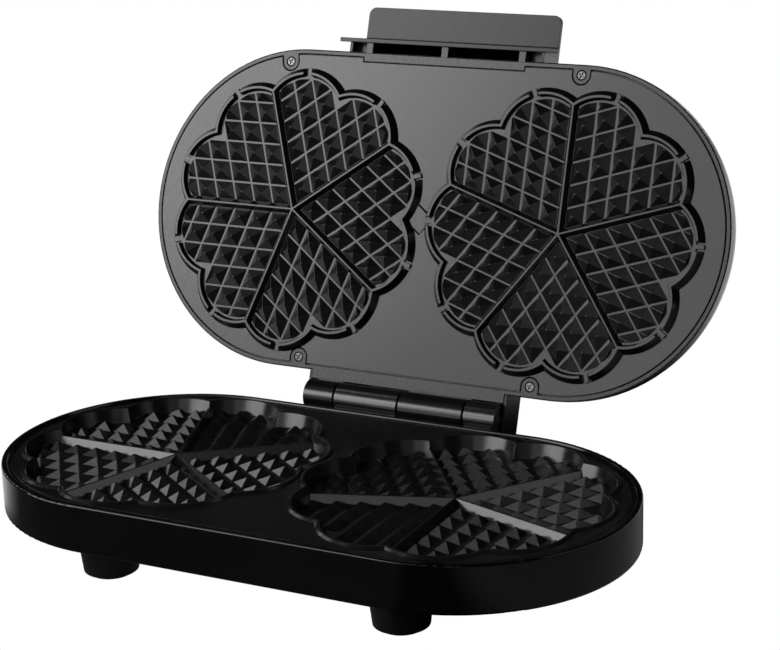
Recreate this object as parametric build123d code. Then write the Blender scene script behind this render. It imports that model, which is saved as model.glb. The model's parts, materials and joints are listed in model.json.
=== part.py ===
from build123d import *
import math
import os

# ---------------------------------------------------------------------------
# Double heart-waffle maker. Millimetres, +Z up, X along the long side,
# -Y is the front (grip side), +Y the back (hinge side).
# Origin: centre of the footprint, on the surface the feet stand on.
# The lid is modelled shut and then swung open about the hinge line.
# ---------------------------------------------------------------------------

# --- driving dimensions ----------------------------------------------------
OPEN_DEG = 109.0          # lid angle from shut to its open stop
END_X = 93.0              # half distance between the centres of the round ends
R_BASE = 98.6             # outer radius of the base wall
R_LID = 100.0             # outer radius of the lid cover
R_PLATE = 92.6            # outer radius of the lower plate
R_FACE = 96.4             # outer radius of the upper plate
GRIP_X = -1.2             # middle of the grip along the lid
Z_BOT = 21.0              # underside of the base body
Z_CREST = 45.0            # top of the lower dividers
Z_PLATE = 49.2            # top of the bead round each mould of the lower plate
Z_FLAT = 47.9             # flat face of the lower plate
Z_RIM = 49.0              # top of the base bezel
Z_FACE = 49.9             # cooking face of the lid (shut)
HINGE_Y = 115.0
HINGE_Z = 49.5
KNUCKLE_R = 9.5
PIN_R = 3.0

FLOWER_Y = 1.6            # flower centres
FLOWER_L = -91.2
FLOWER_R = 88.8
R_CUSP = 77.0             # centre to divider end
R_NOTCH = 76.2            # centre to the notch in each heart
R_LOBE = 85.7             # centre to lobe tip
PITCH = 13.55             # lattice pitch along a divider
FIRST = 14.9              # first lattice line from the divider
FLAT = 0.6                # half width of the flat valley between the lid's pyramids
FLAT_LOW = 1.1            # the same on the lower plate
DIV_FOOT = 2.9            # half width of a divider at its foot
DIV_TOP = 0.55            # half width of its crest
LOW_FLOOR = 4.8           # lower floor below the crest
UP_LIP = 45.3             # crest of the lid's lips and dividers (shut)
UP_FLOOR = 48.4           # floor of the lid's moulds (shut)
WALL = 3.0
POST_Z = 37.4             # underside of the lower plate's posts
PAN_T = 1.2               # sheet thickness of the bottom cover

os.makedirs("parts", exist_ok=True)
BASE, LID = {}, {}


# --- helpers ---------------------------------------------------------------
def stadium(r, z0, z1):
    return extrude(Plane.XY.offset(z0) * SlotOverall(2 * (END_X + r), 2 * r), amount=z1 - z0)


def cyl(x, y, z0, z1, r):
    return Pos(x, y, (z0 + z1) / 2) * Cylinder(r, z1 - z0)


def cyl_x(x0, x1, y, z, r):
    return Pos((x0 + x1) / 2, y, z) * Rot(0, 90, 0) * Cylinder(r, x1 - x0)


def cyl_y(x, y0, y1, z, r):
    return Pos(x, (y0 + y1) / 2, z) * Rot(90, 0, 0) * Cylinder(r, y1 - y0)


def box(x0, x1, y0, y1, z0, z1):
    return Pos((x0 + x1) / 2, (y0 + y1) / 2, (z0 + z1) / 2) * Box(x1 - x0, y1 - y0, z1 - z0)


def cone(x, y, z0, z1, r0, r1):
    return Pos(x, y, (z0 + z1) / 2) * Cone(r0, r1, z1 - z0)


def one(s):
    """a single clean solid from the result of a boolean"""
    sol = s.solids()
    sol.sort(key=lambda a: -a.volume)
    return sol[0]


def polar(r, deg):
    return (r * math.cos(math.radians(deg)), r * math.sin(math.radians(deg)))


# lobe circle through the cusp, the tip and the notch
def circle3(p, q, r):
    ax, ay = p
    bx, by = q
    cx, cy = r
    d = 2 * (ax * (by - cy) + bx * (cy - ay) + cx * (ay - by))
    ux = ((ax * ax + ay * ay) * (by - cy) + (bx * bx + by * by) * (cy - ay) + (cx * cx + cy * cy) * (ay - by)) / d
    uy = ((ax * ax + ay * ay) * (cx - bx) + (bx * bx + by * by) * (ax - cx) + (cx * cx + cy * cy) * (bx - ax)) / d
    return ux, uy, math.hypot(ax - ux, ay - uy)


LOBE_CX, LOBE_CY, LOBE_R = circle3(polar(R_CUSP, 0), polar(R_LOBE, 18), polar(R_NOTCH, 36))
LOBE_D = math.hypot(LOBE_CX, LOBE_CY)
LOBE_A = math.degrees(math.atan2(LOBE_CY, LOBE_CX))


def flower_wire(cx, cy, first, off, z):
    """outline of a flower: ten arcs, grown by off; first = angle of a divider"""
    cent = []
    for i in range(5):
        a = first + 72 * i
        cent.append(polar(LOBE_D, a + LOBE_A))
        cent.append(polar(LOBE_D, a + 72 - LOBE_A))
    r = LOBE_R + off
    pts = []
    for j in range(10):
        p, q = cent[j - 1], cent[j]
        mx, my = (p[0] + q[0]) / 2, (p[1] + q[1]) / 2
        dx, dy = q[0] - p[0], q[1] - p[1]
        d = math.hypot(dx, dy)
        hgt = math.sqrt(r * r - d * d / 4)
        nx, ny = -dy / d, dx / d
        if nx * mx + ny * my < 0:
            nx, ny = -nx, -ny
        pts.append((mx + nx * hgt, my + ny * hgt))
    edges = []
    for j in range(10):
        p, q = pts[j], pts[(j + 1) % 10]
        c = cent[j]
        n = math.hypot(*c)
        tip = (c[0] + c[0] / n * r, c[1] + c[1] / n * r)
        edges.append(ThreePointArc((cx + p[0], cy + p[1], z), (cx + tip[0], cy + tip[1], z), (cx + q[0], cy + q[1], z)))
    return Wire(edges)


def flower_prism(cx, cy, first, off, z0, z1):
    return extrude(Face(flower_wire(cx, cy, first, off, z0)), amount=z1 - z0, dir=(0, 0, 1))


def flower_taper(cx, cy, first, off0, z0, off1, z1):
    return Solid.make_loft([flower_wire(cx, cy, first, off0, z0), flower_wire(cx, cy, first, off1, z1)], ruled=True)


S72 = math.sin(math.radians(72))


def sawtooth(height, sign):
    """profile across one family of pyramid rows: (distance, z) from a divider"""
    pts = [(0.0, 0.0)]
    flat = FLAT_LOW if sign > 0 else FLAT
    a = (DIV_FOOT + 0.3) / S72 if sign > 0 else DIV_FOOT / S72 * 0.80
    pts.append((a * S72, 0.0))
    nxt = FIRST
    for k in range(6):
        b = nxt - flat / S72
        m = (a + b) / 2
        t = 0.28
        pts.append(((m - t) * S72, height))
        pts.append(((m + t) * S72, height))
        pts.append((b * S72, 0.0))
        a = nxt + flat / S72
        pts.append((a * S72, 0.0))
        nxt += PITCH
    pts.append((100.0, 0.0))
    return [(p, sign * h) for p, h in pts]


def heart_field(cx, cy, ang, z_floor, sign, height, clip_off):
    """pyramids of the heart between dividers at ang and ang+72"""
    prof = sawtooth(height, sign)
    out = []
    for base_ang, side in ((ang, 1), (ang + 72, -1)):
        # rows parallel to this divider, stepping away from it into the heart
        d = Vector(*polar(1, base_ang), 0)
        n = Vector(*polar(1, base_ang + 90 * side), 0)
        o = Vector(cx, cy, z_floor)
        pts = [o + n * p + Vector(0, 0, h) - d * 12 for p, h in prof]
        pts += [o + n * 100 + Vector(0, 0, -sign * 0.6) - d * 12, o + Vector(0, 0, -sign * 0.6) - d * 12]
        face = Face(Wire.make_polygon(pts, close=True))
        out.append(extrude(face, amount=125, dir=d))
    both = one(out[0] & out[1])
    return both


def divider(cx, cy, ang, z_floor, z_crest, length):
    """ridge of triangular section from the centre out"""
    d = Vector(*polar(1, ang), 0)
    n = Vector(*polar(1, ang + 90), 0)
    o = Vector(cx, cy, 0)
    s = 1 if z_crest > z_floor else -1
    zs = [(-DIV_FOOT, z_floor), (-DIV_FOOT, z_floor - s * 0.6), (DIV_FOOT, z_floor - s * 0.6), (DIV_FOOT, z_floor),
          (DIV_TOP, z_crest), (-DIV_TOP, z_crest)]
    pts = [o + n * a + Vector(0, 0, z) for a, z in zs]
    return extrude(Face(Wire.make_polygon(pts, close=True)), amount=length, dir=d)


FLOWERS = ((FLOWER_L, FLOWER_Y, 180.0), (FLOWER_R, FLOWER_Y, 198.0))
PLATE_POSTS = ((0.0, -76.0), (0.0, 80.0), (-179.3, 1.6), (174.3, 29.6))


def heart_pattern(cx, cy, first, z_floor, sign, height, clip_off, z_lo, z_hi, crest, div_len):
    """five hearts of pyramids, the wedge at each notch left flat, and five dividers"""
    clip = flower_prism(cx, cy, first, clip_off, z_lo, z_hi)
    fields = []
    for i in range(5):
        a = first + 72 * i
        f = heart_field(cx, cy, a, z_floor, sign, height, clip_off)
        # flat wedge at the notch: beyond the third line of both families
        w0 = FIRST + 2 * PITCH
        p0 = polar(2 * w0 * math.cos(math.radians(36)), a + 36)
        e1, e2 = polar(60, a), polar(60, a + 72)
        wedge = Face(Wire.make_polygon([(cx + p0[0], cy + p0[1], z_floor), (cx + p0[0] + e1[0], cy + p0[1] + e1[1], z_floor),
                                        (cx + p0[0] + e1[0] + e2[0], cy + p0[1] + e1[1] + e2[1], z_floor),
                                        (cx + p0[0] + e2[0], cy + p0[1] + e2[1], z_floor)], close=True))
        f = f - extrude(wedge, amount=8, dir=(0, 0, sign))
        f = one(f & clip)
        fields.append(f)
    divs = [divider(cx, cy, first + 72 * i, z_floor, crest, div_len) for i in range(5)]
    return fields, divs


# =========================== BASE ==========================================
# outer wall with its bezel
shell = stadium(R_BASE, Z_BOT, Z_RIM)
shell = fillet(shell.edges().group_by(Axis.Z)[-1], 1.2)
shell = fillet(shell.edges().group_by(Axis.Z)[0], 1.6)
shell -= stadium(R_BASE - WALL, Z_BOT, 45.5)
shell -= stadium(R_PLATE + 0.4, 45.0, Z_RIM)
# shallow step in the bezel
shell -= extrude(Plane.XY.offset(Z_RIM - 0.9) * SlotOverall(2 * (END_X + 94.9), 2 * 94.9), amount=0.9, taper=-24)
# tabs the plate's posts stand on
for (px, py) in PLATE_POSTS:
    n = math.hypot(px - max(-END_X, min(END_X, px)), py)
    ux, uy = ((px - max(-END_X, min(END_X, px))) / n, py / n)
    ang = math.degrees(math.atan2(uy, ux))
    dist = 97.0 - n
    tab = Pos(px + ux * dist / 2, py + uy * dist / 2, POST_Z - 1.5) * Rot(0, 0, ang) * Box(dist, 13, 3)
    tab += cyl(px, py, POST_Z - 3, POST_Z, 6.5)
    tab = tab & stadium(97.0, 30, 42)
    tab -= cyl(px, py, 30, 42, 2.3)
    shell += tab
# bosses for the bottom cover's screws
COVER_SCREWS = ((-60, -89), (60, -89), (-40, 89), (40, 89), (-182, -20), (182, -20))
for (px, py) in COVER_SCREWS:
    b = cyl(px, py, Z_BOT + PAN_T, 36.0, 5.5) & stadium(97.0, 22, 36)
    b -= cyl(px, py, 21.0, 33.0, 1.7)
    shell += b
# opening for the cord inlet and holes for the hinge leaf
shell -= cyl_y(81, 90, 104, 34, 6.2)
HINGE_SCREW_X = (-50, -16, 16, 50)
for hx in HINGE_SCREW_X:
    shell -= cyl_y(hx, 94, 104, 33, 1.7)
BASE["base_housing"] = one(shell)

# bottom cover
cover = stadium(95.3, Z_BOT, Z_BOT + PAN_T)
for (px, py) in COVER_SCREWS:
    cover -= cyl(px, py, 20, 25, 2.2)
FEET = ((-91.0, -71.0), (91.0, -71.0), (-91.0, 71.0), (91.0, 71.0))
for (px, py) in FEET:
    cover -= cyl(px, py, 20, 25, 2.2)
BASE["base_bottom_cover"] = one(cover)

# feet, pads and their screws
names = ("foot_front_left", "foot_front_right", "foot_rear_left", "foot_rear_right")
pads, fscr = [], []
for nm, (px, py) in zip(names, FEET):
    f = cone(px, py, 1.6, Z_BOT, 15.4, 17.6)
    f = fillet(f.edges().group_by(Axis.Z)[0], 1.0)
    f -= cyl(px, py, 0, 3.6, 12.1)
    f -= cyl(px, py, 8, 22, 1.9)
    BASE[nm] = one(f)
    pads.append(cyl(px, py, 0.0, 3.6, 12.0))
    s = cyl(px, py, Z_BOT + PAN_T, Z_BOT + PAN_T + 2.2, 4.0) + cyl(px, py, 10.0, Z_BOT + PAN_T, 1.8)
    fscr.append(one(s))
BASE["foot_pads"] = Compound(children=[one(p) for p in pads])
BASE["foot_screws"] = Compound(children=fscr)
cs = []
for (px, py) in COVER_SCREWS:
    s = cyl(px, py, Z_BOT - 1.7, Z_BOT, 3.8) + cyl(px, py, Z_BOT, 32.0, 1.6)
    s -= Pos(px, py, Z_BOT - 1.7) * Box(4.4, 0.9, 1.6)
    s -= Pos(px, py, Z_BOT - 1.7) * Box(0.9, 4.4, 1.6)
    cs.append(one(s))
BASE["bottom_cover_screws"] = Compound(children=cs)

# lower cooking plate
plate = stadium(R_PLATE, 46.2, Z_FLAT)
plate = fillet(plate.edges().group_by(Axis.Z)[-1], 0.5)
bowls = None
for (cx, cy, first) in FLOWERS:
    b = flower_prism(cx, cy, first, 8.4, 37.6, 47.0)
    bowls = b if bowls is None else bowls + b
bowls = bowls & stadium(R_PLATE - 1.0, 37.0, 48.0)
plate = plate + bowls
for (px, py) in PLATE_POSTS:
    plate += cyl(px, py, POST_Z, 47.0, 5.0)
# raised bead round each mould, with a sloped outer side
for (cx, cy, first) in FLOWERS:
    plate += flower_taper(cx, cy, first, 7.62, Z_FLAT - 0.2, 5.95, Z_PLATE) & stadium(R_PLATE - 0.2, 46.0, 50.0)
low_floor_z = Z_CREST - LOW_FLOOR
for (cx, cy, first) in FLOWERS:
    plate -= flower_taper(cx, cy, first, 1.2, low_floor_z, 4.2, Z_PLATE + 0.001)
    plate -= flower_taper(cx, cy, first, 4.05, Z_PLATE - 0.4, 4.7, Z_PLATE + 0.001)
for (px, py) in PLATE_POSTS:
    plate -= cyl(px, py, POST_Z - 1, 44.6, 2.0)
pieces = []
for (cx, cy, first) in FLOWERS:
    fields, divs = heart_pattern(cx, cy, first, low_floor_z, 1, LOW_FLOOR - 0.8, -1.6, 38.0, 50.0, Z_CREST, R_CUSP + 4.6)
    pieces += fields + divs
plate = plate.fuse(*pieces)
BASE["lower_cooking_plate"] = one(plate)

# tubular heater under the lower plate
def heater(z, zdir):
    line = (Line((13, 55, z), (END_X, 55, z)) + ThreePointArc((END_X, 55, z), (END_X + 55, 0, z), (END_X, -55, z))
            + Line((END_X, -55, z), (-END_X, -55, z)) + ThreePointArc((-END_X, -55, z), (-END_X - 55, 0, z), (-END_X, 55, z))
            + Line((-END_X, 55, z), (-13, 55, z)))
    path = Wire(line.edges())
    tube = sweep(Plane(origin=(13, 55, z), z_dir=(1, 0, 0)) * Circle(3.3), path=path)
    tube += cyl_x(5, 13.0, 55, z, 1.6) + cyl_x(-13.0, -5, 55, z, 1.6)
    return one(tube)

Z_HL = 37.6 - 3.3
BASE["lower_heating_element"] = heater(Z_HL, -1)
CLAMPS = ((-93.0, -55.0), (93.0, -55.0), (-93.0, 55.0), (93.0, 55.0))

def clamp(px, py, z_face, zt, s):
    """U-shaped steel strap holding the heater against the plate; s = side it stands off"""
    lo = zt - s * 3.34
    a, b = sorted((z_face, lo - s * 1.0))
    u = box(px - 4, px + 4, py - 4.4, py + 4.4, a, b)
    a, b = sorted((z_face, lo))
    u -= box(px - 5, px + 5, py - 3.4, py + 3.4, a, b)
    a, b = sorted((z_face, z_face - s * 0.9))
    u += box(px - 4, px + 4, py - 8.6, py - 3.4, a, b) + box(px - 4, px + 4, py + 3.4, py + 8.6, a, b)
    return one(u)

BASE["lower_element_clamps"] = Compound(children=[clamp(x, y, 37.6, Z_HL, 1) for x, y in CLAMPS])

# sheet reflector under the heater, on four pressed legs
sh = stadium(76.0, 27.4, 28.0)
sh -= box(-26, 26, 36, 80, 27, 29)
for lx in (-93.0, 93.0):
    for ly in (-30.0, 30.0):
        sh += cyl(lx, ly, 28.0, 37.6, 3.2)
BASE["lower_heat_shield"] = one(sh)

scr = []
for (px, py) in PLATE_POSTS:
    s = cyl(px, py, POST_Z - 5.2, POST_Z - 3, 3.8) + cyl(px, py, POST_Z - 3, 43.8, 1.9)
    scr.append(one(s))
BASE["lower_plate_screws"] = Compound(children=scr)

BASE["lower_thermostat"] = one(cyl(-4, 60, 36.4, 46.2, 8.0) + box(-15, 7, 57.5, 62.5, 38.4, 39.4))
BASE["thermal_fuse"] = one(cyl_x(-9, 5, -62, 43.0, 3.2) + cyl_x(-18, 14, -62, 43.0, 0.6))
tb = box(-16, 16, 62, 76, Z_BOT + PAN_T, 33.5)
for i in (-1, 0, 1):
    tb -= cyl(i * 9.5, 69, 28.0, 34.0, 2.6)
    tb -= box(i * 9.5 - 2.4, i * 9.5 + 2.4, 61, 77, 26.0, 29.0)
BASE["terminal_block"] = one(tb)

# cord inlet bushing in the rear wall
gl = cyl_y(81, 93.6, R_BASE, 34, 6.1) + cyl_y(81, R_BASE, R_BASE + 3.0, 34, 8.0)
gl = fillet(gl.edges().group_by(Axis.Y)[-1], 0.8)
gl += cyl_y(81, 92.0, 95.5, 34, 7.4)
gl -= cyl_y(81, 90, 104, 34, 3.7)
BASE["cord_inlet_gland"] = one(gl)

# hinge: two knuckles on the base leaf
G = 0.6
SEG = (-64.7, -43.8, 0.0, 43.8, 64.7)
base_segs = ((SEG[1] + G, SEG[2] - G), (SEG[3] + G, SEG[4]))
lid_segs = ((SEG[0], SEG[1] - G), (SEG[2] + G, SEG[3] - G))
leaf = box(-62, 62, R_BASE, R_BASE + 3.0, 26, 46)
for hx in HINGE_SCREW_X:
    leaf -= cyl_y(hx, 98, 104, 33, 1.9)
for (a, b) in base_segs:
    b2 = min(b, 62.0)
    leaf += box(a, b2, R_BASE, 113.0, 41.2, 46.0)
    leaf += cyl_x(a, b, HINGE_Y, HINGE_Z, KNUCKLE_R)
leaf -= cyl_x(-70, 70, HINGE_Y, HINGE_Z, PIN_R + 0.05)
BASE["base_hinge_bracket"] = one(leaf)
BASE["hinge_pin"] = one(cyl_x(-64.2, 64.2, HINGE_Y, HINGE_Z, PIN_R))
hs = []
for hx in HINGE_SCREW_X:
    s = cyl_y(hx, 101.6, 103.4, 33, 3.4) + cyl_y(hx, 95.8, 101.6, 33, 1.6)
    hs.append(one(s))
BASE["base_hinge_screws"] = Compound(children=hs)

# =========================== LID (shut) =====================================
Z_TOP = 74.5
RF = 18.0
outer = stadium(R_LID, 50.5, Z_TOP)
outer = fillet(outer.edges().group_by(Axis.Z)[-1], RF)
tail = box(-67.2, 67.2, 80, 128.4, 50.5, 73.0)
tail = fillet(tail.edges().filter_by(Axis.X).sort_by(Axis.Y)[-2:].sort_by(Axis.Z)[-1], 7.0)
tail = fillet(tail.edges().filter_by(GeomType.LINE).filter_by(Axis.Z).group_by(Axis.Y)[-1], 2.0)
outer = outer + tail
inner = stadium(R_LID - 2.5, 50.0, Z_TOP - 2.5)
inner = fillet(inner.edges().group_by(Axis.Z)[-1], RF - 2.5)
tail_in = box(-65.1, 65.1, 80, 126.2, 50.0, 70.8)
solid_cover = outer
cov = outer - inner - tail_in
TAB_R = 5.3               # rounded screw tabs of the lid frame
LID_SCREWS = ((-107.0, -91.5), (90.0, -93.6), (-76.3, 93.2), (81.0, 93.3))
for (px, py) in LID_SCREWS:
    b = cyl(px, py, 54.2, 73.0, 5.0) & solid_cover
    cov += b
    cov -= cyl(px, py, 50.0, 66.0, 1.95)
# top plate, sloped web, end plates and screw blocks that carry the grip
sup = box(GRIP_X - 65.6, GRIP_X + 65.6, -106.1, -80.0, 71.5, 74.0)
for sx in (-1, 1):
    a, b = sorted((GRIP_X + sx * 63.7, GRIP_X + sx * 65.6))
    sup += box(a, b, -106.1, -80.0, 51.0, 74.0)
    a, b = sorted((GRIP_X + sx * 54.7, GRIP_X + sx * 64.7))
    sup += box(a, b, -106.1, -80.0, 58.0, 71.6)
gus = Face(Wire.make_polygon([(GRIP_X - 64.0, -106.1, 71.6), (GRIP_X - 64.0, -99.0, 58.5), (GRIP_X - 64.0, -99.0, 71.6)], close=True))
sup += extrude(gus, amount=128.0, dir=(1, 0, 0))
sup -= inner
for sx in (-1, 1):
    sup -= cyl_y(GRIP_X + sx * 59.4, -107, -99.5, 62.5, 1.7)
cov += sup
LAMP_X = (-13.0, 13.0)
for lx in LAMP_X:
    cov -= cyl(lx, -66, 70, 76, 3.6)
# pads the hinge leaf is screwed to
LEAF_SCREW_X = (-52, -30, 10, 34)
LID_PAD = box(-60, 60, 84.0, 92.5, 58.0, 72.5)
LID["lid_cover"] = None   # finished below

# grey frame: rim with screw tabs, wide front land, rear flange
frame_o = stadium(R_LID - 0.6, 50.0, 54.0)
hole = stadium(R_FACE + 0.9, 49.9, 54.1)
# land under the grip: straight front strip
hole -= box(GRIP_X - 54.1, GRIP_X + 54.1, -98.0, -94.4, 49, 55)
fr = frame_o - hole
for (px, py) in LID_SCREWS:
    dx = px - max(-END_X, min(END_X, px))
    n = math.hypot(dx, py)
    ang = math.degrees(math.atan2(py, dx))
    t = cyl(px, py, 50.0, 54.0, TAB_R)
    L = 98.0 - n
    t += Pos(px + math.cos(math.radians(ang)) * L / 2, py + math.sin(math.radians(ang)) * L / 2, 52) * Rot(0, 0, ang) * Box(L, 2 * TAB_R, 4)
    t = t & stadium(98.0, 49, 55)
    fr += t
fr += box(-65.2, 65.2, 97.6, 104.9, 50.0, 53.0)
RIBS = (GRIP_X - 51.6, GRIP_X, GRIP_X + 51.6)   # spacer ribs between rim and grip
for rx in RIBS:
    fr += box(rx - 2.2, rx + 2.2, -106.05, -98.8, 50.6, 54.0) + box(rx - 2.2, rx + 2.2, -106.05, -100.1, 53.9, 57.0)
fr -= box(-64.0, 64.0, 97.3, 104.0, 53.0, 54.2)   # seat of the hinge leaf
for (px, py) in LID_SCREWS:
    fr -= cyl(px, py, 49, 55, 2.1)
    fr -= cyl(px, py, 50.0, 51.7, 3.15)
for hx in LEAF_SCREW_X:
    fr -= cyl(hx, 100.5, 51.3, 55, 1.6)
# ledge behind the plate with four holes for the plate's back screws
ledge = stadium(98.0, 53.1, 54.0) - stadium(91.5, 53.0, 54.1)
for (px, py) in PLATE_POSTS:
    n = math.hypot(px - max(-END_X, min(END_X, px)), py)
    ux, uy = ((px - max(-END_X, min(END_X, px))) / n, py / n)
    a2 = math.degrees(math.atan2(uy, ux))
    dist = 95.0 - n
    ledge += (Pos(px + ux * dist / 2, py + uy * dist / 2, 53.55) * Rot(0, 0, a2) * Box(dist, 10, 0.9)) + cyl(px, py, 53.1, 54.0, 5.0)
for (px, py) in PLATE_POSTS:
    ledge -= cyl(px, py, 53, 54.2, 1.6)
for (px, py) in LID_SCREWS:
    ledge -= cyl(px, py, 53, 54.2, 2.1)
ledge -= box(-64.0, 64.0, 97.3, 104.0, 53.0, 54.2)
fr += ledge
frame_solid = one(fr)
LID["lid_frame"] = frame_solid

# upper cooking plate
up = stadium(R_FACE, Z_FACE, 52.9)
up -= box(GRIP_X - 54.8, GRIP_X + 54.8, -98.0, -93.7, 49, 54)
up = one(up)
adds = []
for (cx, cy, first) in FLOWERS:
    # raised lip: sloped outside, near-vertical inside, crest 1.6 wide
    adds.append(flower_taper(cx, cy, first, 0.8, UP_LIP, 4.1, 50.4))
up = up.fuse(*adds)
# cut-outs around the frame's screw tabs
for (px, py) in LID_SCREWS:
    dx = px - max(-END_X, min(END_X, px))
    n = math.hypot(dx, py)
    ang = math.degrees(math.atan2(py, dx))
    up -= cyl(px, py, 46, 54, TAB_R + 0.8)
    up -= Pos(px + math.cos(math.radians(ang)) * 8, py + math.sin(math.radians(ang)) * 8, 50) * Rot(0, 0, ang) * Box(16, 2 * TAB_R + 1.6, 8)
cuts = []
for (cx, cy, first) in FLOWERS:
    cuts.append(flower_taper(cx, cy, first, -0.8, UP_LIP - 0.001, -1.9, UP_FLOOR))
up = up.cut(*cuts)
# vent gaps through the lip at the lobe tips, each crossed by a low tab
vents, tabs = [], []
for (cx, cy, first) in FLOWERS:
    for i in range(5):
        for da in (LOBE_A, 72 - LOBE_A):
            a = first + 72 * i + da
            at = Pos(cx, cy, 0) * Rot(0, 0, a) * Pos(R_LOBE, 0, 0)
            vents.append(at * box(-2.6, 8.0, -2.9, 2.9, UP_LIP - 1, UP_FLOOR))
            vents.append(at * box(-1.3, 8.0, -2.6, 2.6, UP_FLOOR - 0.01, Z_FACE))
            tabs.append(at * box(-2.5, 3.7, -1.35, 1.35, UP_FLOOR, 50.4))
up = up.cut(*vents)
pieces = []
for (cx, cy, first) in FLOWERS:
    fields, divs = heart_pattern(cx, cy, first, UP_FLOOR, -1, UP_FLOOR - UP_LIP - 0.25, -3.4, 44.0, 50.0, UP_LIP, R_CUSP - 0.2)
    pieces += fields + divs
pieces += tabs
# low land between the two moulds, with sloped sides
land = Face(Wire.make_polygon([(0, -7.0, 50.4), (0, -7.0, Z_FACE), (0, -5.9, Z_FACE - 0.55), (0, 5.9, Z_FACE - 0.55),
                               (0, 7.0, Z_FACE), (0, 7.0, 50.4)], close=True))
pieces.append(Pos(-4.6, 0.5, 0) * Rot(0, 0, 37.5) * Pos(-6.5, 0, 0) * extrude(land, amount=13, dir=(1, 0, 0)))
up = up.fuse(*pieces)
for (px, py) in PLATE_POSTS:
    up -= cyl(px, py, 51.2, 53.0, 1.3)
# pockets in the back, behind the hearts, that keep the plate light
heater_land = stadium(61.0, 50.0, 54.0) - stadium(49.0, 50.0, 54.0)
for (cx, cy, first) in FLOWERS:
    up -= cyl(cx, cy, 50.8, 53.0, 69.0) - heater_land
LID["upper_cooking_plate"] = one(up)

Z_HU = 52.9 + 3.3
LID["upper_heating_element"] = heater(Z_HU, 1)
LID["upper_element_clamps"] = Compound(children=[clamp(x, y, 52.9, Z_HU, -1) for x, y in CLAMPS])
sh = stadium(74.0, 61.6, 62.2)
sh -= box(-26, 26, 50, 80, 61, 63)
for lx in (-93.0, 93.0):
    for ly in (-30.0, 30.0):
        sh += cyl(lx, ly, 50.8, 61.6, 3.2)
LID["upper_heat_shield"] = one(sh)
LID["upper_thermostat"] = one(cyl(-4, 66, 52.9, 59.6, 8.0) + box(-15, 7, 63.5, 68.5, 57.2, 58.2))
scr = []
for (px, py) in PLATE_POSTS:
    scr.append(one(cyl(px, py, 54.0, 55.6, 2.8) + cyl(px, py, 51.6, 54.0, 1.2)))
LID["plate_back_screws"] = Compound(children=scr)

# cross-head screws that show on the cooking side
scr = []
for (px, py) in LID_SCREWS:
    s = cyl(px, py, 50.05, 51.7, 2.85)
    s = fillet(s.edges().group_by(Axis.Z)[0], 0.6)
    s += cyl(px, py, 51.7, 64.0, 1.8)
    s -= Pos(px, py, 50.4) * Rot(0, 0, 28) * Box(3.7, 0.8, 1.4)
    s -= Pos(px, py, 50.4) * Rot(0, 0, 28) * Box(0.8, 3.7, 1.4)
    scr.append(one(s))
LID["lid_frame_screws"] = Compound(children=scr)

# grip: shelf standing off the lid's front, with a flap along its outer edge
GX0, GX1 = GRIP_X - 65.6, GRIP_X + 65.6
shelf = box(GX0, GX1, -108.6, -106.1, 49.4, 74.0) + box(-73.5, 73.0, -108.6, -106.1, 49.4, 53.0)
flap = box(GX0, GX1, -131.9, -106.4, 71.5, 74.0)
flap = fillet(flap.edges().filter_by(Axis.Z).group_by(Axis.Y)[0], 4.8)
grip = shelf + flap
inner_edge = grip.edges().filter_by(Axis.X).filter_by(lambda e: abs(e.center().Y + 108.6) < 0.05 and abs(e.center().Z - 71.5) < 0.05)
grip = fillet(inner_edge, 4.5)
for sx in (-1, 1):
    grip -= cyl_y(GRIP_X + sx * 59.4, -109, -106, 62.5, 1.9)
    grip -= Pos(GRIP_X + sx * 59.4, -107.7, 62.5) * Rot(90, 0, 0) * Cone(1.9, 3.7, 1.8)
LID["handle_grip"] = one(grip)
hscr = []
for sx in (-1, 1):
    hx = GRIP_X + sx * 59.4
    s = cyl_y(hx, -107.0, -100.5, 62.5, 1.6)
    s += Pos(hx, -107.7, 62.5) * Rot(90, 0, 0) * Cone(1.6, 3.4, 1.8)
    s -= Pos(hx, -108.6, 62.5) * Box(3.6, 1.2, 0.8)
    s -= Pos(hx, -108.6, 62.5) * Box(0.8, 1.2, 3.6)
    hscr.append(one(s))
LID["handle_screws"] = Compound(children=hscr)

# lid hinge leaf: on the rear flange of the frame, two knuckles
lf = box(-62, 62, 97.5, 104.4, 53.0, 55.0)
for hx in LEAF_SCREW_X:
    lf -= cyl(hx, 100.5, 52, 56, 1.9)
for (a, b) in lid_segs:
    a2 = max(a, -62.0)
    lf += box(a2, b, 103.7, 112.0, 53.0, 57.6)
    lf += cyl_x(a, b, HINGE_Y, HINGE_Z, KNUCKLE_R)
lf -= cyl_x(-70, 70, HINGE_Y, HINGE_Z, PIN_R + 0.05)
for (a, b) in base_segs:
    lf -= cyl_x(a - G, b + G, HINGE_Y, HINGE_Z, KNUCKLE_R + 0.35)
LID["lid_hinge_bracket"] = one(lf)
ls = []
for hx in LEAF_SCREW_X:
    ls.append(one(cyl(hx, 100.5, 55.0, 56.8, 3.0) + cyl(hx, 100.5, 51.5, 55.0, 1.5)))
LID["lid_hinge_screws"] = Compound(children=ls)

# cover: clear the frame and hinge leaf
cov -= stadium(R_LID - 0.3, 49.5, 54.2) - stadium(90.0, 49.5, 54.2)
cov -= box(-65.4, 65.4, 90.0, 105.1, 49.5, 54.2)
for rx in RIBS:
    cov -= box(rx - 2.3, rx + 2.3, -100.2, -99.0, 49.5, 54.2)
cov = one(cov)
LID["lid_cover"] = cov

# indicator lamps
for lx, nm in zip(LAMP_X, ("power", "ready")):
    l = cyl(lx, -66, 71.0, 75.0, 3.5) + cyl(lx, -66, 71.0, 72.0, 4.6)
    l = fillet(l.edges().group_by(Axis.Z)[-1], 0.5)
    LID[nm + "_lamp_lens"] = one(l)
    LID[nm + "_lamp"] = one(cyl(lx, -66, 64.0, 70.9, 2.6))

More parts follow.
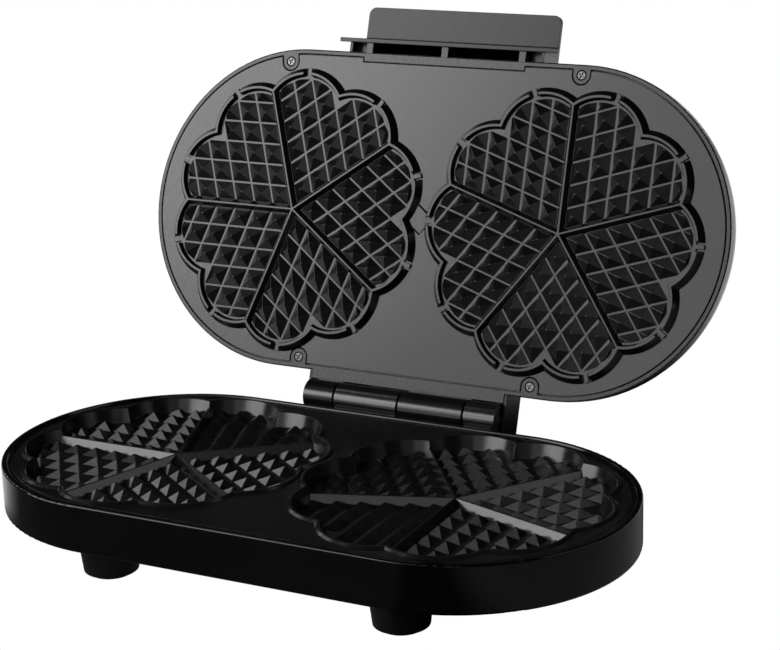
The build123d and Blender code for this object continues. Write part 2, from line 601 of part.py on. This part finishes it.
# wiring
def lead(points, radii, r):
    path = FilletPolyline(*points, radius=radii)
    p0, p1 = Vector(*points[0]), Vector(*points[1])
    return sweep(Plane(origin=points[0], z_dir=(p1 - p0)) * Circle(r), path=path)

LID["lamp_wiring"] = Compound(children=[
    one(lead([(-13, -62.2, 65.2), (-13, -40, 65.2), (-9, -20, 65.2), (-9, 58, 65.2), (-9, 66, 60.9)], 5, 0.9)),
    one(lead([(13, -62.2, 65.2), (13, -40, 65.2), (5, -20, 65.2), (5, 58, 65.2), (5, 66, 60.9)], 5, 0.9))])
BASE["supply_wiring"] = Compound(children=[
    one(lead([(-9.5, 78.2, 27.5), (-9.5, 82.5, 27.5), (20, 82.5, 27.5), (60, 82.5, 30.5), (81, 88, 34.0), (81, 91.5, 34.0)], 2.5, 1.1))])

# --- write: lid swung open about the hinge line -----------------------------
AX = Axis((0, HINGE_Y, HINGE_Z), (-1, 0, 0))
for name, s in BASE.items():
    s.label = name
    export_step(s, "parts/%s.step" % name)
for name, s in LID.items():
    s = s.rotate(AX, OPEN_DEG)
    s.label = name
    export_step(s, "parts/%s.step" % name)
print("wrote", len(BASE) + len(LID), "nodes")
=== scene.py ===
import json
import math
import bpy
from mathutils import Matrix, Vector

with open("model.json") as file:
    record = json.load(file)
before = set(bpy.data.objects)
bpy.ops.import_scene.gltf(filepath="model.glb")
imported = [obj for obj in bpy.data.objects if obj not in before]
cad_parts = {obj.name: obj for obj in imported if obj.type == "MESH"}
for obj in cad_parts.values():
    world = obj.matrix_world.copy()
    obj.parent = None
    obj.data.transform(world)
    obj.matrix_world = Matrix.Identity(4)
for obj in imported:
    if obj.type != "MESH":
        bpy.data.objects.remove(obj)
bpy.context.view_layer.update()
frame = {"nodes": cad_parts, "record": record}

NODES = frame["nodes"]
scene = bpy.context.scene
scene.view_settings.view_transform = "Standard"
scene.view_settings.look = "None"
scene.view_settings.exposure = 0.0
scene.view_settings.gamma = 1.0

# ---------------------------------------------------------------------------
# camera: solved from the outlines of the moulds, rims, feet and hinge
# ---------------------------------------------------------------------------
right = Vector((0.89110489, 0.45286902, -0.02901231))
up = Vector((-0.10710907, 0.27202175, 0.95631157))
back = Vector((0.44097587, -0.84906644, 0.29090629))
cam_data = bpy.data.cameras.new("camera")
cam_data.sensor_width = 36.0
cam_data.sensor_fit = "HORIZONTAL"
cam_data.lens = 97.63
cam_data.clip_start = 0.05
cam = bpy.data.objects.new("camera", cam_data)
scene.collection.objects.link(cam)
m = Matrix.Identity(4)
for i in range(3):
    m[i][0], m[i][1], m[i][2] = right[i], up[i], back[i]
m.translation = Vector((0.55662, -0.97063, 0.47265))
cam.matrix_world = m
scene.camera = cam


# ---------------------------------------------------------------------------
# materials
# ---------------------------------------------------------------------------
def ramp(nt, src, stops):
    r = nt.nodes.new("ShaderNodeValToRGB")
    els = r.color_ramp.elements
    while len(els) < len(stops):
        els.new(0.5)
    for e, (p, c) in zip(els, stops):
        e.position = p
        e.color = (c, c, c, 1) if not isinstance(c, tuple) else (*c, 1)
    nt.links.new(src, r.inputs["Fac"])
    return r.outputs["Color"]


def noise(nt, coord, scale, detail=3.0, rough=0.5, dist=0.0):
    n = nt.nodes.new("ShaderNodeTexNoise")
    n.inputs["Scale"].default_value = scale
    n.inputs["Detail"].default_value = detail
    n.inputs["Roughness"].default_value = rough
    n.inputs["Distortion"].default_value = dist
    nt.links.new(coord, n.inputs["Vector"])
    return n.outputs["Fac"]


def maprange(nt, src, a, b, lo, hi):
    n = nt.nodes.new("ShaderNodeMapRange")
    n.inputs["From Min"].default_value = a
    n.inputs["From Max"].default_value = b
    n.inputs["To Min"].default_value = lo
    n.inputs["To Max"].default_value = hi
    nt.links.new(src, n.inputs["Value"])
    return n.outputs["Result"]


def mixcol(nt, fac, c1, c2):
    n = nt.nodes.new("ShaderNodeMix")
    n.data_type = "RGBA"
    nt.links.new(fac, n.inputs[0])
    n.inputs[6].default_value = (*c1, 1)
    n.inputs[7].default_value = (*c2, 1)
    return n.outputs[2]


def finish_material(name, color, color2, rough=(0.3, 0.4), metallic=0.0, spec=0.5,
                    grain=(1800.0, 0.10, 0.00004), wave=None, edge=0.0003, coat=0.0, coat_rough=0.1,
                    mottle=60.0, ior=1.5, transmission=0.0, alpha=1.0, aniso=0.0, emission=None):
    """procedural finish: two close tones, roughness variation, fine grain and softened edges"""
    mat = bpy.data.materials.new(name)
    mat.use_nodes = True
    nt = mat.node_tree
    bsdf = nt.nodes["Principled BSDF"]
    tc = nt.nodes.new("ShaderNodeTexCoord")
    obj = tc.outputs["Object"]
    blot = noise(nt, obj, mottle, 4.0, 0.55)
    nt.links.new(mixcol(nt, maprange(nt, blot, 0.35, 0.65, 0.0, 1.0), color, color2), bsdf.inputs["Base Color"])
    rn = noise(nt, obj, mottle * 6.0, 3.0, 0.6)
    nt.links.new(maprange(nt, rn, 0.3, 0.7, rough[0], rough[1]), bsdf.inputs["Roughness"])
    bsdf.inputs["Metallic"].default_value = metallic
    bsdf.inputs["Specular IOR Level"].default_value = spec
    bsdf.inputs["IOR"].default_value = ior
    bsdf.inputs["Coat Weight"].default_value = coat
    bsdf.inputs["Coat Roughness"].default_value = coat_rough
    bsdf.inputs["Transmission Weight"].default_value = transmission
    bsdf.inputs["Alpha"].default_value = alpha
    bsdf.inputs["Anisotropic"].default_value = aniso
    if emission:
        bsdf.inputs["Emission Color"].default_value = (*emission[0], 1)
        bsdf.inputs["Emission Strength"].default_value = emission[1]
    last = None
    if edge:
        bv = nt.nodes.new("ShaderNodeBevel")
        bv.samples = 6
        bv.inputs["Radius"].default_value = edge
        last = bv.outputs["Normal"]
    if grain:
        g = noise(nt, obj, grain[0], 2.0, 0.6)
        b = nt.nodes.new("ShaderNodeBump")
        b.inputs["Strength"].default_value = grain[1]
        b.inputs["Distance"].default_value = grain[2]
        nt.links.new(g, b.inputs["Height"])
        if last is not None:
            nt.links.new(last, b.inputs["Normal"])
        last = b.outputs["Normal"]
    if last is not None:
        nt.links.new(last, bsdf.inputs["Normal"])
    return mat


M = {
    "nonstick_plate": finish_material("cast_nonstick_coating", (0.0055, 0.0055, 0.006), (0.008, 0.008, 0.0087),
                                      rough=(0.17, 0.22), spec=0.62, grain=(1400.0, 0.25, 0.00010), edge=0.0004, mottle=45.0),
    "base_shell": finish_material("gloss_black_shell", (0.0018, 0.0018, 0.0020), (0.0025, 0.0025, 0.0028),
                                  rough=(0.10, 0.15), spec=0.40, grain=(300.0, 0.04, 0.00006), edge=0.0004, mottle=20.0),
    "lid_shell": finish_material("satin_dark_shell", (0.004, 0.004, 0.0046), (0.006, 0.006, 0.0067),
                                 rough=(0.20, 0.26), spec=0.42, grain=(2200.0, 0.25, 0.00006), edge=0.0005, mottle=30.0),
    "frame_grey": finish_material("fine_grey_moulding", (0.014, 0.014, 0.0155), (0.019, 0.019, 0.0205),
                                  rough=(0.24, 0.30), spec=0.58, grain=(2400.0, 0.3, 0.00006), edge=0.0004),
    "grip_plastic": finish_material("satin_grip_moulding", (0.014, 0.014, 0.0155), (0.019, 0.019, 0.021),
                                    rough=(0.18, 0.22), spec=0.36, grain=(2600.0, 0.3, 0.00005), edge=0.0006),
    "foot_plastic": finish_material("foot_moulding", (0.004, 0.004, 0.0045), (0.006, 0.006, 0.0065),
                                    rough=(0.24, 0.32), grain=(2000.0, 0.2, 0.00006)),
    "pad_rubber": finish_material("soft_black_rubber", (0.008, 0.008, 0.008), (0.013, 0.013, 0.013),
                                  rough=(0.65, 0.8), spec=0.35, grain=(1500.0, 0.4, 0.0001)),
    "bottom_sheet": finish_material("painted_sheet", (0.012, 0.012, 0.013), (0.017, 0.017, 0.018),
                                    rough=(0.38, 0.48), grain=(900.0, 0.2, 0.00008)),
    "hinge_black": finish_material("hinge_coating", (0.005, 0.005, 0.0055), (0.008, 0.008, 0.0085),
                                   rough=(0.20, 0.26), spec=0.75, grain=(1600.0, 0.2, 0.00006), edge=0.0006),
    "plated_steel": finish_material("zinc_plate", (0.42, 0.42, 0.41), (0.55, 0.54, 0.52), rough=(0.28, 0.42),
                                    metallic=1.0, grain=(1200.0, 0.12, 0.00005), edge=0.0002),
    "dark_screw": finish_material("dark_oxide_screw", (0.13, 0.13, 0.132), (0.19, 0.19, 0.193), rough=(0.22, 0.36),
                                  metallic=1.0, grain=(1400.0, 0.2, 0.00005), edge=0.0003),
    "heater_tube": finish_material("sheathed_tube", (0.16, 0.145, 0.13), (0.24, 0.22, 0.19), rough=(0.4, 0.55),
                                   metallic=1.0, grain=(700.0, 0.15, 0.0001)),
    "reflector_sheet": finish_material("bright_sheet", (0.62, 0.62, 0.62), (0.75, 0.75, 0.75), rough=(0.2, 0.32),
                                       metallic=1.0, grain=(500.0, 0.1, 0.0001)),
    "thermostat_body": finish_material("thermostat_metal", (0.38, 0.37, 0.35), (0.5, 0.49, 0.46), rough=(0.3, 0.45),
                                       metallic=1.0, grain=(900.0, 0.12, 0.0001)),
    "ceramic_white": finish_material("glazed_ceramic", (0.62, 0.60, 0.56), (0.72, 0.70, 0.66), rough=(0.15, 0.25),
                                     grain=(400.0, 0.05, 0.0001)),
    "terminal_plastic": finish_material("terminal_moulding", (0.58, 0.56, 0.50), (0.66, 0.64, 0.58), rough=(0.35, 0.45)),
    "lead_insulation": finish_material("woven_sleeve", (0.36, 0.33, 0.29), (0.46, 0.43, 0.38), rough=(0.6, 0.8),
                                       grain=(2600.0, 0.6, 0.0002)),
    "lens_red": finish_material("red_lens", (0.45, 0.02, 0.015), (0.52, 0.03, 0.02), rough=(0.08, 0.14),
                                grain=(300.0, 0.03, 0.0001), coat=0.3, transmission=0.5),
    "lens_green": finish_material("green_lens", (0.03, 0.30, 0.05), (0.04, 0.36, 0.07), rough=(0.08, 0.14),
                                  grain=(300.0, 0.03, 0.0001), coat=0.3, transmission=0.5),
    "lamp_glass": finish_material("lamp_glass", (0.75, 0.70, 0.62), (0.8, 0.76, 0.7), rough=(0.05, 0.1),
                                  grain=(300.0, 0.02, 0.0001), transmission=0.8),
}
for sp in frame["record"]["subparts"]:
    ob = NODES[sp["node"]]
    ob.data.materials.clear()
    ob.data.materials.append(M[sp["material_slot"]])

# ---------------------------------------------------------------------------
# floor and light
# ---------------------------------------------------------------------------
fm = bpy.data.meshes.new("studio_floor")
s = 14.0
fm.from_pydata([(-s, -s, 0), (s, -s, 0), (s, s, 0), (-s, s, 0)], [], [(0, 1, 2, 3)])
floor = bpy.data.objects.new("studio_floor", fm)
scene.collection.objects.link(floor)
fmat = bpy.data.materials.new("studio_white")
fmat.use_nodes = True
fn = fmat.node_tree
fb = fn.nodes["Principled BSDF"]
fb.inputs["Base Color"].default_value = (0.5, 0.5, 0.5, 1)
fb.inputs["Roughness"].default_value = 0.9
fb.inputs["Specular IOR Level"].default_value = 0.1
femi = fn.nodes.new("ShaderNodeEmission")
femi.inputs["Color"].default_value = (1, 1, 1, 1)
femi.inputs["Strength"].default_value = 1.0
fmix = fn.nodes.new("ShaderNodeMixShader")
flp = fn.nodes.new("ShaderNodeLightPath")
fn.links.new(flp.outputs["Is Camera Ray"], fmix.inputs[0])
fn.links.new(fb.outputs[0], fmix.inputs[1])
fn.links.new(femi.outputs[0], fmix.inputs[2])
# painted reflection: the floor glows only for glossy rays, so the glossy wall reflects a painted table: dim, darker
# in one strip, lighter far right and back left
painted_reflection_glow = fn.nodes.new("ShaderNodeEmission")
painted_reflection_mix = fn.nodes.new("ShaderNodeMixShader")
fn.links.new(flp.outputs["Is Glossy Ray"], painted_reflection_mix.inputs[0])
fn.links.new(fmix.outputs[0], painted_reflection_mix.inputs[1])
fn.links.new(painted_reflection_glow.outputs[0], painted_reflection_mix.inputs[2])
ftc = fn.nodes.new("ShaderNodeTexCoord")
fsx = fn.nodes.new("ShaderNodeSeparateXYZ")
fn.links.new(ftc.outputs["Object"], fsx.inputs[0])
# painted reflection strips across X: a glow level for glossy rays, with one dark strip and a brighter right side
painted_reflection_strips = ramp(fn, maprange(fn, fsx.outputs["X"], -0.5, 0.5, 0.0, 1.0),
          [(0.0, 0.05), (0.575, 0.065), (0.595, 0.0), (0.655, 0.0), (0.70, 0.18), (1.0, 0.13)])
# painted reflection patches: extra glow for glossy rays at the back left and far behind
left = maprange(fn, fsx.outputs["X"], -0.20, -0.23, 0.0, 1.0)
behind = maprange(fn, fsx.outputs["Y"], -0.08, -0.02, 0.0, 0.65)
far = maprange(fn, fsx.outputs["Y"], 0.26, 0.42, 0.0, 1.0)
mul = fn.nodes.new("ShaderNodeMath")
mul.operation = "MULTIPLY"
fn.links.new(left, mul.inputs[0])
fn.links.new(behind, mul.inputs[1])
add = fn.nodes.new("ShaderNodeMath")
add.operation = "ADD"
fn.links.new(painted_reflection_strips, add.inputs[0])
fn.links.new(mul.outputs[0], add.inputs[1])
add2 = fn.nodes.new("ShaderNodeMath")
add2.operation = "ADD"
fn.links.new(add.outputs[0], add2.inputs[0])
fn.links.new(far, add2.inputs[1])
fn.links.new(add2.outputs[0], painted_reflection_glow.inputs["Strength"])
fn.links.new(painted_reflection_mix.outputs[0], fn.nodes["Material Output"].inputs["Surface"])
fm.materials.append(fmat)

world = bpy.data.worlds.new("studio")
scene.world = world
world.use_nodes = True
wn = world.node_tree
bg = wn.nodes["Background"]
bg.inputs["Color"].default_value = (1, 1, 1, 1)
lp = wn.nodes.new("ShaderNodeLightPath")
mr = wn.nodes.new("ShaderNodeMapRange")
mr.inputs["To Min"].default_value = 0.015
mr.inputs["To Max"].default_value = 1.0
wn.links.new(lp.outputs["Is Camera Ray"], mr.inputs["Value"])
wn.links.new(mr.outputs["Result"], bg.inputs["Strength"])


def panel(name, az, el, radiance, dist=6.0, target=(0.0, 0.05, 0.10), only=None):
    """softbox covering the given spans of azimuth (from +X) and elevation as seen from the target"""
    a, e = math.radians(sum(az) / 2), math.radians(sum(el) / 2)
    d = Vector((math.cos(a) * math.cos(e), math.sin(a) * math.cos(e), math.sin(e)))
    width = 2 * dist * math.cos(e) * math.tan(math.radians(abs(az[1] - az[0]) / 2))
    height = 2 * dist * math.tan(math.radians(abs(el[1] - el[0]) / 2))
    L = bpy.data.lights.new(name, "AREA")
    L.shape = "RECTANGLE"
    L.size = width
    L.size_y = height
    L.energy = radiance * math.pi * width * height
    o = bpy.data.objects.new(name, L)
    o.location = Vector(target) + d * dist
    o.rotation_euler = d.to_track_quat("Z", "Y").to_euler()
    scene.collection.objects.link(o)
    o.visible_camera = False
    if only is not None:
        o.light_linking.receiver_collection = only
    return o


bodies = frame["record"]["behaviour"]["bodies"]
groups = {}
for nm in ("base", "lid"):
    groups[nm] = bpy.data.collections.new(nm + "_lit")
    for node in bodies[nm]:
        groups[nm].objects.link(NODES[node])

# front left softbox, brighter on its left two thirds
panel("front_left_wide", (-157.0, -117.3), (15.5, 40.0), 5.0)
panel("front_left_edge", (-117.3, -100.0), (13.5, 38.0), 1.9)
panel("front_left_low", (-150.0, -100.0), (2.0, 15.0), 1.0)
panel("front", (-100.0, -76.0), (14.0, 36.0), 0.8)
panel("front_right", (-74.0, -50.0), (18.0, 52.0), 0.45)
# small fills that light the lower plate's hearts
panel("fill_high_left", (-176.0, -160.0), (51.0, 62.0), 2.6, only=groups["base"])
panel("fill_left", (172.0, 184.0), (46.0, 54.0), 0.8, only=groups["base"])
panel("fill_low_left", (156.0, 166.0), (19.0, 30.0), 1.9, only=groups["base"])
panel("fill_walls", (-150.0, -106.0), (4.0, 16.0), 2.6, only=groups["base"])
panel("fill_right_high", (28.0, 50.0), (54.0, 66.0), 0.6, only=groups["base"])
panel("fill_right", (-12.0, 27.0), (16.0, 30.0), 0.95, only=groups["base"])
panel("fill_side", (163.0, 178.0), (0.0, 12.0), 0.35, only=groups["base"])
panel("fill_bead", (167.0, 184.0), (27.0, 41.0), 1.3, only=groups["base"])
panel("fill_back", (98.0, 128.0), (1.0, 11.0), 0.35, only=groups["base"])
# from behind, for the lid when it is shut and for its outer side
panel("behind_lid", (75.0, 155.0), (10.0, 42.0), 0.55, only=groups["lid"])
panel("rim_left", (176.0, 194.0), (-2.0, 12.0), 0.4, only=groups["lid"])
panel("high_left_soft", (-170.0, -146.0), (47.0, 62.0), 0.2, only=groups["lid"])
